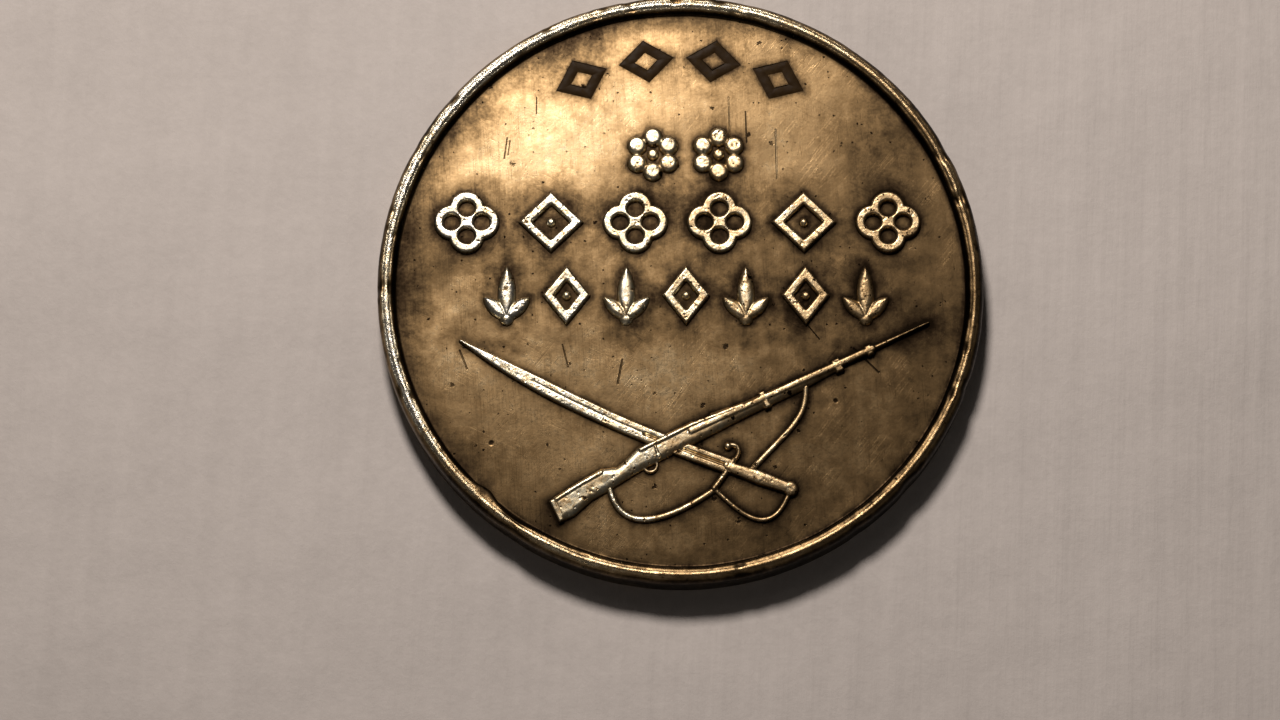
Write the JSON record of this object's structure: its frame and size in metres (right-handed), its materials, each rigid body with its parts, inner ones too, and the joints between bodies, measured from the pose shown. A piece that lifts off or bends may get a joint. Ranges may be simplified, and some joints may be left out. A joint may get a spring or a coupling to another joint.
{
  "type": "medal",
  "caption": "Round struck silver medal with a raised rim, enamel-filled lozenges, raised ornament rows, a crossed rifle and sabre in relief, and a hanging ring.",
  "frame": {"origin": "centre of the plain reverse, on the face that the medal rests on", "axes": "+Z out of the obverse, +Y from the centre to the suspension eye, +X to the right when the obverse is read"},
  "size_m": [0.032, 0.0409, 0.0023],
  "materials": {
    "toned_silver": "struck silver with a brown and gold tone, polished by wear on the field",
    "worn_silver": "relief worn bright on top, dark in the corners",
    "enamel": "dark brown-black vitreous enamel, slightly glossy",
    "fitting_silver": "satin silver, toned in the corners",
    "solder": "grey silver solder",
    "ring_wire": "drawn silver wire, polished by rubbing"
  },
  "bodies": {
    "medal": {"planchet": "toned_silver", "suspension_eye": "fitting_silver", "eye_solder": "solder", "enamel_inlay_1": "enamel", "enamel_inlay_2": "enamel", "enamel_inlay_3": "enamel", "enamel_inlay_4": "enamel", "upper_ornament_1": "worn_silver", "upper_ornament_2": "worn_silver", "middle_ornament_1": "worn_silver", "middle_ornament_2": "worn_silver", "middle_ornament_3": "worn_silver", "middle_ornament_4": "worn_silver", "middle_ornament_5": "worn_silver", "middle_ornament_6": "worn_silver", "lower_ornament_1": "worn_silver", "lower_ornament_2": "worn_silver", "lower_ornament_3": "worn_silver", "lower_ornament_4": "worn_silver", "lower_ornament_5": "worn_silver", "lower_ornament_6": "worn_silver", "lower_ornament_7": "worn_silver", "rifle_relief": "worn_silver", "sling_relief": "worn_silver", "sabre_blade_relief": "worn_silver", "sabre_hilt_relief": "worn_silver"},
    "ring": {"hanging_ring": "ring_wire"}
  },
  "joints": [
    {"name": "ring_swing", "type": "hinge", "parent": "medal", "child": "ring", "pos_m": [0, 0.01739, 0.00115], "axis": [1, 0, 0], "range_deg": [-125, 135]}
  ]
}
